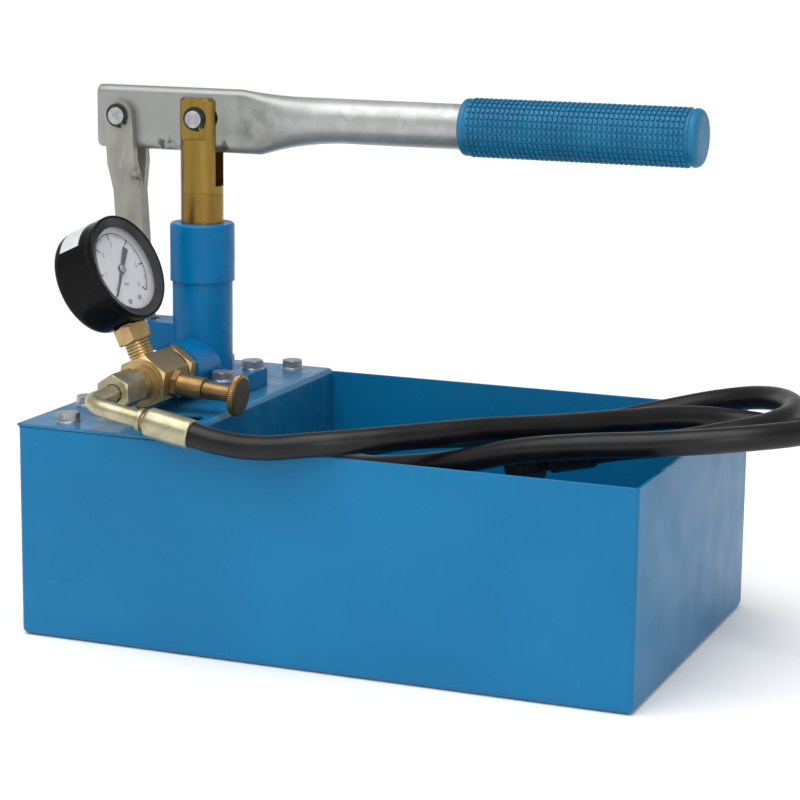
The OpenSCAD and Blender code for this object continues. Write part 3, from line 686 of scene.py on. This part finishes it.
def add_ferrule(name, node, length, material, matrix):
    """A crimped sleeve that grows along +Z from its narrow end."""
    bm = bmesh.new()
    outline = [(5.2, 0.2), (6.4, 0), (8.2, 2.2), (8.25, 4), (8.25, length - 2),
               (8.0, length - 0.4), (7.4, length), (6.5, length), (6.5, length - 3),
               (5.2, length - 3)]
    lathe(bm, rounded_loop(outline, 0.5, 3), 96, closed=True,
          shape=lambda r, z, a: crimped(r, z, a, 5, length - 4) if r > 8 else r)
    piece = finish_piece(name, bm, "pump_frame", material, matrix, 50)
    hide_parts(node)
    return piece


hose, fittings = add_hose()
add_ferrule("pump_end_ferrule", "crimp_ferrule", FERRULE[1] - FERRULE[0],
            YELLOW_ZINC, OUTLET @ place(FERRULE[0], OUTLET_Y, 0) @ turn(90, "Y"))
far_ferrule = add_ferrule("far_end_ferrule", "hose_end_ferrule", FAR_FERRULE_LENGTH,
                          DARK_STEEL,
                          HOSE_END @ place(0, 0, FAR_FERRULE_FRONT) @ turn(180, "X"))


# ---- grip ----

def add_grip():
    """Rubber sleeve with plain bands at its ends and rows of small knobs between them."""
    core, top, pitch, around = 15.3, 16.5, 2.85, 26
    bands, first_row, knob_wide, knob_tall = 9.8, 4.6, 0.76, 0.72
    length = GRIP_X[1] - GRIP_X[0]
    bm = bmesh.new()
    outline = [(12.8, 0), (15.2, 0), (15.9, 0.8), (16.0, 2.4), (15.9, 3.2), (core, 3.8),
               (core, length - 5.6), (16.0, length - 5.1), (16.1, length - 3.4),
               (15.2, length - 1.2), (13.2, length - 0.2), (9, length), (0.5, length - 0.3)]
    lathe(bm, rounded(outline, 1.2, 4), 104)
    wide, tall = 2 * math.pi * top / around * knob_wide, pitch * knob_tall
    for row in range(int((length - bands) / pitch)):
        z = first_row + (row + 0.5) * pitch
        for k in range(around):
            angle = 2 * math.pi * (k + 0.5) / around
            add_knob(bm, angle, z, core - 0.2, top, wide, tall)
    matrix = place(GRIP_X[0], LEVER_Y, GRIP_Z) @ turn(90, "Y")
    grip = finish_piece("knobbed_grip", bm, "handle", GRIP_RUBBER, matrix, 28)
    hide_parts("handle_grip")


def add_knob(bm, angle, z, low, high, wide, tall):
    """A small pad with sloping sides on the surface of a cylinder about +Z."""
    corners = []
    for radius, share in ((low, 1.0), (high - 0.25, 0.86), (high, 0.6)):
        ring = []
        for side, rise in ((-1, -1), (1, -1), (1, 1), (-1, 1)):
            a = angle + side * wide * share / 2 / high
            level = z + rise * tall * share / 2
            ring.append(bm.verts.new((radius * math.cos(a), radius * math.sin(a), level)))
        corners.append(ring)
    loft(bm, corners)


add_grip()


# ---- lever ----

def eased(x, start, end):
    """Share of the way from start to end, quick at first and settling at the end."""
    t = min(1, max(0, (x - start) / (end - start)))
    return 1 - (1 - t) ** 2


def lever_section(x, sides=96):
    """Outline of the lever at x: a flat bar at its left that swells into a round tube."""
    flat_t, flat_h = 5.0, 18.5
    swell = eased(x, *LEVER_SWELL_X)
    top = LEVER_TOP[0] + (LEVER_TOP[1] - LEVER_TOP[0]) * eased(x, *LEVER_TOP_X)
    bottom = LEVER_BOTTOM[0] + (LEVER_BOTTOM[1] - LEVER_BOTTOM[0]) * eased(x, *LEVER_BOTTOM_X)
    points = []
    for k in range(sides):
        angle = 2 * math.pi * (k + 0.5) / sides
        c, s = math.cos(angle), math.sin(angle)
        rise = math.copysign(abs(s) ** 0.9, s) * flat_h
        over = max(0, (abs(rise) - flat_h + flat_t) / flat_t)
        flat_y = math.copysign(flat_t * math.sqrt(max(0, 1 - over * over)), c)
        y = flat_y + (c * LEVER_TUBE_R - flat_y) * swell
        z = rise / flat_h + (s - rise / flat_h) * swell
        points.append((x, LEVER_Y + y, (top + bottom) / 2 + z * (top - bottom) / 2))
    return points


def add_lever():
    """The lever's skin through its sections, with its pin hole and its worn slot."""
    bm = bmesh.new()
    stations = [-196, -195.6, -194.8, -190, *range(-180, -105, 10), *range(-104, -30, 2),
                *range(-30, 36, 10), 60, 100, LEVER_END_X]
    shrink = {-196: 0.97, -195.6: 0.99}
    rings = []
    for x in stations:
        middle, share = Vector((x, LEVER_Y, LEVER_Z)), shrink.get(x, 1)
        rings.append([bm.verts.new(middle + (Vector(p) - middle) * share)
                      for p in lever_section(x)])
    loft(bm, rings)
    lever = finish_piece("pressed_lever", bm, "handle", GALVANISED, None, 40)
    cut(lever, [round_cutter(LINK_PIN, PIN_HOLE_R, PIN_HOLE_R),
                round_cutter(WEAR_SLOT, *(s / 2 for s in WEAR_SLOT_SIZE))])
    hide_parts("handle_tube")


def bare_object(name, bm):
    """A helper object made of millimetre mesh work, to cut with or to be cut."""
    bmesh.ops.recalc_face_normals(bm, faces=bm.faces)
    bm.transform(Matrix.Scale(MM, 4))
    mesh = bpy.data.meshes.new(name)
    bm.to_mesh(mesh)
    bm.free()
    made = bpy.data.objects.new(name, mesh)
    bpy.context.scene.collection.objects.link(made)
    return made


def round_cutter(centre, half_length, half_height, sides=64):
    """A cutter along Y, round or drawn out along X."""
    bm = bmesh.new()
    reach = half_length - half_height
    rings = []
    for y in (-30, 30):
        ring = []
        for k in range(sides):
            angle = 2 * math.pi * (k + 0.5) / sides
            x = math.copysign(reach, math.cos(angle)) + half_height * math.cos(angle)
            z = half_height * math.sin(angle)
            ring.append(bm.verts.new((centre.x + x, centre.y + y, centre.z + z)))
        rings.append(ring)
    loft(bm, rings)
    return bare_object("cutter", bm)


def cut(piece, cutters):
    """Subtracts the cutters from a piece and removes them."""
    for cutter in cutters:
        modifier = piece.modifiers.new("hole", "BOOLEAN")
        modifier.object = cutter
        modifier.operation = "DIFFERENCE"
        modifier.solver = "EXACT"
    bpy.context.view_layer.update()
    result = piece.evaluated_get(bpy.context.evaluated_depsgraph_get())
    solved = bpy.data.meshes.new_from_object(result)
    piece.modifiers.clear()
    piece.data = solved
    solved.shade_smooth()
    solved.set_sharp_from_angle(angle=math.radians(40))
    for cutter in cutters:
        bpy.data.objects.remove(cutter)


add_lever()


# ---- tank ----

def tank_outline(inset):
    """The tank's rounded outline, with points on its long sides where the lid ends."""
    corner = max(TANK_CORNER - inset, 0.3)
    x, y = TANK.x / 2 - inset - corner, TANK.y / 2 - inset - corner
    points = []
    for quarter, (sx, sy) in enumerate(((1, 1), (-1, 1), (-1, -1), (1, -1))):
        for k in range(9):
            angle = math.radians(90 * quarter + 90 * k / 8)
            points.append((sx * x + corner * math.cos(angle), sy * y + corner * math.sin(angle)))
        if quarter == 0:
            points += [(LID_END + 2, y + corner), (LID_END, y + corner)]
        if quarter == 2:
            points += [(LID_END, -y - corner), (LID_END + 2, -y - corner)]
    return points


def tank_levels():
    """Levels as two (inset, z) pairs: along the open rim, and under the lid at the fold.
    They go up the outside, over the rim and down the inside."""
    bottom, inner, lip, fold, steps = 4.0, 2.5, 0.5, 1.45, 5
    top = TANK.z
    turns = [math.radians(90 * k / steps) for k in range(steps + 1)]
    levels = [((bottom * (1 - math.sin(a)), bottom * (1 - math.cos(a))),) * 2 for a in turns]
    levels += [((lip * (1 - math.cos(a)), top - lip * (1 - math.sin(a))),
                (fold * (1 - math.cos(a)), top - fold * (1 - math.sin(a)))) for a in turns]
    levels += [((SHEET - lip * (1 - math.sin(a)), top - lip * (1 - math.cos(a))),
                (SHEET, top - lip * (1 - math.cos(a)))) for a in turns]
    levels += [((SHEET + inner * (1 - math.cos(a)), SHEET + inner * (1 - math.sin(a))),) * 2
               for a in turns]
    return levels


def rim_plate():
    """The flange turned in under the lid, a U of sheet with the lid's bolt holes."""
    bm = bmesh.new()
    (x_out, y_out), (x_in, y_in) = RIM_PLATE_OUTSIDE, RIM_PLATE_INSIDE
    outline = [(x_out, -y_out), (RIM_PLATE_END, -y_out), (RIM_PLATE_END, -y_in), (x_in, -y_in),
               (x_in, y_in), (RIM_PLATE_END, y_in), (RIM_PLATE_END, y_out), (x_out, y_out)]
    levels = (TANK.z - SHEET, TANK.z - 0.02)
    loft(bm, [[bm.verts.new((x, y, z)) for x, y in outline] for z in levels])
    plate = bare_object("rim_plate", bm)
    cutters = []
    for x, y in LID_BOLTS:
        hole = bmesh.new()
        lathe(hole, [(LID_BOLT_HOLE_R, TANK.z - 6), (LID_BOLT_HOLE_R, TANK.z + 6)], 48)
        hole.transform(place(x, y, 0))
        cutters.append(bare_object("cutter", hole))
    cut(plate, cutters)
    return plate


def add_tank():
    """Folded sheet tank with rounded bends, and the rim turned in under the lid."""
    bm = bmesh.new()
    rings = []
    for rim, under_lid in tank_levels():
        outlines = tank_outline(rim[0]), tank_outline(under_lid[0])
        rings.append([bm.verts.new((*b, under_lid[1]) if a[0] <= LID_END else (*a, rim[1]))
                      for a, b in zip(*outlines)])
    loft(bm, rings)
    plate = rim_plate()
    plate.data.transform(Matrix.Scale(1 / MM, 4))
    bm.from_mesh(plate.data)
    bpy.data.objects.remove(plate)
    tank = finish_piece("folded_tank", bm, "pump_frame", SHEET_PAINT)
    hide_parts("tank_shell")


add_tank()


# ---- circlips ----

def add_clips():
    """A pair of external circlips on each pin of the linkage."""
    for node, (pin, reach) in CLIP_PLACES.items():
        body = frame["nodes"][node]["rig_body"]
        bm = bmesh.new()
        for side in (-1, 1):
            clip(bm, pin, side * (reach - 0.02))
        name = "circlips_" + node.split("_")[0]
        piece = finish_piece(name, bm, body, DARK_STEEL, None, 30)
        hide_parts(node)


def clip(bm, pin, middle):
    """One open ring round a pin along Y, thinner opposite its gap, with a lug at each end."""
    inner, outer, thick, gap, steps = 4.75, 7.1, 1.0, 24, 60
    outline_in, outline_out = [], []
    for k in range(steps + 1):
        degrees = gap / 2 + (360 - gap) * k / steps
        away = min(degrees, 360 - degrees)
        lug = 0.7 * (1 - smoothstep(away, 18, 34))
        thin = 0.55 * (1 - smoothstep(away, 60, 170))
        angle = math.radians(degrees - 60)
        r = outer - thin + lug
        outline_in.append((inner * math.cos(angle), inner * math.sin(angle)))
        outline_out.append((r * math.cos(angle), r * math.sin(angle)))
    for k in range(steps):
        corners = []
        for y in (-thick / 2, thick / 2):
            for x, z in (outline_in[k], outline_out[k], outline_out[k + 1], outline_in[k + 1]):
                corners.append(bm.verts.new((pin.x + x, pin.y + middle + y, pin.z + z)))
        a, b, c, d, e, f, g, h = corners
        faces = [(a, b, c, d), (e, h, g, f), (b, f, g, c), (a, d, h, e)]
        if k == 0:
            faces.append((a, e, f, b))
        if k == steps - 1:
            faces.append((d, c, g, h))
        for face in faces:
            bm.faces.new(face)


add_clips()


# ---- release valve's knob ----

def add_knurled_knob():
    """Disc with a knurled edge on the end of the release spindle."""
    bm = bmesh.new()
    low, high = KNOB_HEIGHT
    outline = [(4.7, low - 0.1), (10.8, low), (12.0, low + 0.9), (12.0, high - 0.9),
               (10.8, high), (3.2, high - 0.15), (0.4, high - 0.3)]
    lathe(bm, rounded(outline, 0.5, 3), 240,
          shape=lambda r, z, a: r - 0.3 * (0.5 + 0.5 * math.cos(60 * a)) if r > 11.4 else r)
    knob = finish_piece("knurled_knob", bm, "release_stem", DARK_BRASS, RELEASE, 30)
    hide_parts("release_knob")


add_knurled_knob()


# ---- gauge ----

def add_gauge_case():
    bm = bmesh.new()
    back, front, r = -CASE_HALF, BEZEL_BACK, CASE_R
    outline = [(0.5, back), (r - 3.5, back), (r - 0.6, back + 1.6), (r - 0.1, back + 4),
               (r - 0.1, front - 0.4), (r - 0.3, front - 0.05), (r - 2.2, front - 0.1),
               (r - 2.2, back + 3), (0.5, back + 2)]
    lathe(bm, rounded(outline, 1.0, 4), 128)
    case = finish_piece("case_shell", bm, "pump_frame", GLOSS_BLACK, GAUGE, 30)
    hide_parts("gauge_case")


def add_gauge_bezel():
    """Bezel ring, and the sloping funnel inside it that holds the window; the funnel's grey is a
    painted reflection on black enamel.
    """
    bm = bmesh.new()
    low, high, r = BEZEL_BACK, CASE_HALF, CASE_R
    outline = [(28.2, low), (r, low), (r, high - 0.7), (r - 0.5, high), (r - 1.0, high),
               (r - 1.4, high - 0.4), (r - 1.5, high - 1.1), (28.2, high - 1.4)]
    lathe(bm, rounded_loop(outline, 0.25, 4), 128, closed=True)
    bezel = finish_piece("bezel_ring", bm, "pump_frame", GLOSS_BLACK, GAUGE, 40)
    bm = bmesh.new()
    seat = WINDOW[1] + 0.02
    funnel = [(r - 1.35, high - 0.5), (24.7, seat + 0.2), (24.5, seat), (28.6, seat),
              (r - 1.2, high - 1.0)]
    lathe(bm, funnel, 128, closed=True)
    # the funnel takes the grey painted reflection
    finish_piece("bezel_funnel", bm, "pump_frame", FUNNEL_PAINTED_SHEEN, GAUGE, 40)
    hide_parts("gauge_bezel")


def add_window():
    bm = bmesh.new()
    back, front = WINDOW
    outline = [(0.3, back), (WINDOW_R, back), (WINDOW_R, front), (0.3, front + 0.02)]
    lathe(bm, rounded(outline, 0.25, 3), 96)
    window = finish_piece("window_disc", bm, "pump_frame", CLEAR_WINDOW, GAUGE)
    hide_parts("gauge_window")


def dial_point(radius, degrees, rise=0.06):
    """Point on the dial, degrees clockwise from the top as the reader sees it."""
    angle = math.radians(180 - degrees)
    return Vector((radius * math.cos(angle), radius * math.sin(angle), DIAL_FACE + rise))


def printed(bm, outer, inner, outer_turn, inner_turn):
    """A flat printed patch between two radii and their pairs of angles."""
    corners = [dial_point(outer, outer_turn[0]), dial_point(outer, outer_turn[1]),
               dial_point(inner, inner_turn[1]), dial_point(inner, inner_turn[0])]
    bm.faces.new([bm.verts.new(c) for c in corners])


def add_dial_print():
    """A generic scale from 0 to 6 with its figures and unit."""
    bm = bmesh.new()
    start, sweep, ticks, arc_steps, figures = -135, 270, 60, 90, 6
    for i in range(ticks + 1):
        degrees = start + sweep * i / ticks
        major, middle = i % 10 == 0, i % 5 == 0
        inner, half = (18.0, 1.3) if major else (19.4, 0.8) if middle else (20.1, 0.5)
        foot = half * 1.2
        printed(bm, DIAL_TICK_R, inner, (degrees - half, degrees + half),
                (degrees - foot, degrees + foot))
    for i in range(arc_steps):
        span = start + sweep * i / arc_steps, start + sweep * (i + 1) / arc_steps
        printed(bm, *DIAL_ARC_R, span, span)
    finish_piece("dial_scale", bm, "pump_frame", INK, GAUGE)
    for number in range(figures + 1):
        add_dial_text(str(number), DIAL_FIGURE_R, start + sweep * number / figures, 4.0)
    add_dial_text("MPa", DIAL_UNIT_R, 180, 3.0)


def add_dial_text(words, radius, degrees, size):
    """Flat figures on the dial, upright as the reader sees it."""
    text = bpy.data.curves.new("dial_figure", "FONT")
    text.body = words
    text.size = size * MM
    text.align_x = "CENTER"
    text.align_y = "CENTER"
    source = bpy.data.objects.new("dial_figure", text)
    bpy.context.scene.collection.objects.link(source)
    bpy.context.view_layer.update()
    mesh = bpy.data.meshes.new_from_object(source)
    bpy.data.objects.remove(source)
    bpy.data.curves.remove(text)
    mesh.materials.append(INK)
    name = "dial_text_" + words.replace("MPa", "unit")
    figure = bpy.data.objects.new(name, mesh)
    bpy.context.scene.collection.objects.link(figure)
    spot = dial_point(radius, degrees)
    upright = Matrix(((0, -1, 0, 0), (1, 0, 0, 0), (0, 0, 1, 0), (0, 0, 0, 1)))
    local = Matrix.Translation(spot * MM) @ upright
    figure.matrix_world = metres(GAUGE) @ local
    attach(figure, "pump_frame")


def metres(matrix):
    """The same placement with its shift in metres."""
    made = matrix.copy()
    made.translation = matrix.translation * MM
    return made


def add_dial_screws():
    outline = [(0.2, 0.9), (1.2, 0.85), (1.5, 0.5), (1.5, 0)]
    for degrees in DIAL_SCREWS:
        bm = bmesh.new()
        lathe(bm, rounded(outline, 0.3, 3), 32)
        spot = dial_point(DIAL_SCREW_R, degrees, 0)
        finish_piece(f"dial_screw_{degrees}", bm, "pump_frame", BRIGHT_ZINC,
                     GAUGE @ Matrix.Translation(spot))


def add_pointer_cap():
    bm = bmesh.new()
    outline = [(0.2, 11.9), (1.6, 11.8), (2.4, 11.2), (2.5, 10.5), (0.2, 10.5)]
    lathe(bm, rounded(outline, 0.4, 3), 48)
    finish_piece("pointer_cap", bm, "pointer", BRIGHT_ZINC, GAUGE)


def add_label():
    """A blank sticker wrapped round the top of the case."""
    bm = bmesh.new()
    r, steps, start, sweep, edges = CASE_R - 0.02, 24, -8, 56, (-9.4, 4.6)
    rows = []
    for i in range(steps + 1):
        angle = math.radians(start + sweep * i / steps)
        x, y = -r * math.cos(angle), -r * math.sin(angle)
        rows.append([bm.verts.new((x, y, z)) for z in edges])
    for a, b in zip(rows, rows[1:]):
        bm.faces.new((a[0], a[1], b[1], b[0]))
    finish_piece("case_label", bm, "pump_frame", LABEL_PAPER, GAUGE)


add_gauge_case()
add_gauge_bezel()
add_window()
add_dial_print()
add_dial_screws()
add_pointer_cap()
add_label()


# ---- floor and lights ----

def add_floor():
    """A pale floor, in metres, a hair below the tank."""
    reach, level = 15, -0.0002
    bm = bmesh.new()
    for x, y in ((-reach, -reach), (reach, -reach), (reach, reach), (-reach, reach)):
        bm.verts.new((x, y, level))
    bm.faces.new(bm.verts)
    mesh = bpy.data.meshes.new("floor")
    bm.to_mesh(mesh)
    bm.free()
    s = Surface("floor_white", roughness=0.7)
    s.colour(s.mix(s.noise(3, 0.3, 0.7), linear(250, 250, 250), linear(252, 252, 252)))
    mesh.materials.append(s.material)
    floor = bpy.data.objects.new("floor", mesh)
    bpy.context.scene.collection.objects.link(floor)


def add_light(name, place_m, target, size, power):
    """A rectangular light at a place in metres, facing a target."""
    light = bpy.data.lights.new(name, "AREA")
    light.shape = "RECTANGLE"
    light.size, light.size_y = size
    light.energy = power
    lamp = bpy.data.objects.new(name, light)
    lamp.location = place_m
    lamp.rotation_euler = (Vector(target) - Vector(place_m)).to_track_quat("-Z", "Y").to_euler()
    bpy.context.scene.collection.objects.link(lamp)


def add_sun(toward, strength, spread):
    """A far light that shines along toward, soft by its spread in degrees."""
    light = bpy.data.lights.new("sky_panel", "SUN")
    light.energy = strength
    light.angle = math.radians(spread)
    lamp = bpy.data.objects.new("sky_panel", light)
    lamp.rotation_euler = Vector(toward).to_track_quat("-Z", "Y").to_euler()
    bpy.context.scene.collection.objects.link(lamp)


def add_world(horizon, zenith, fade_from=0.1, fade_to=0.4):
    """White studio walls that grow dimmer towards the ceiling, between two heights in the sky."""
    world = bpy.data.worlds.new("studio")
    world.use_nodes = True
    tree = world.node_tree
    place_in_sky = tree.nodes.new("ShaderNodeTexCoord").outputs["Generated"]
    height = tree.nodes.new("ShaderNodeSeparateXYZ")
    fade = tree.nodes.new("ShaderNodeMapRange")
    tree.links.new(place_in_sky, height.inputs[0])
    tree.links.new(height.outputs["Z"], fade.inputs["Value"])
    remap(fade, fade_from, fade_to, horizon, zenith)
    background = tree.nodes["Background"]
    background.inputs["Color"].default_value = (1, 1, 1, 1)
    tree.links.new(fade.outputs["Result"], background.inputs["Strength"])
    bpy.context.scene.world = world
    bpy.context.scene.view_settings.view_transform = "Standard"


add_floor()
add_world(horizon=1.0, zenith=0.4)
add_sun(toward=(0.1, 0.42, -1.0), strength=2.3, spread=60)
add_light("overhead", (-0.1, -0.1, 1.5), target=(0, 0, 0.1), size=(0.9, 0.7), power=3)
add_light("front_right", (0.9, -1.7, 0.8), target=(-0.05, 0, 0.15), size=(0.7, 0.9), power=7)
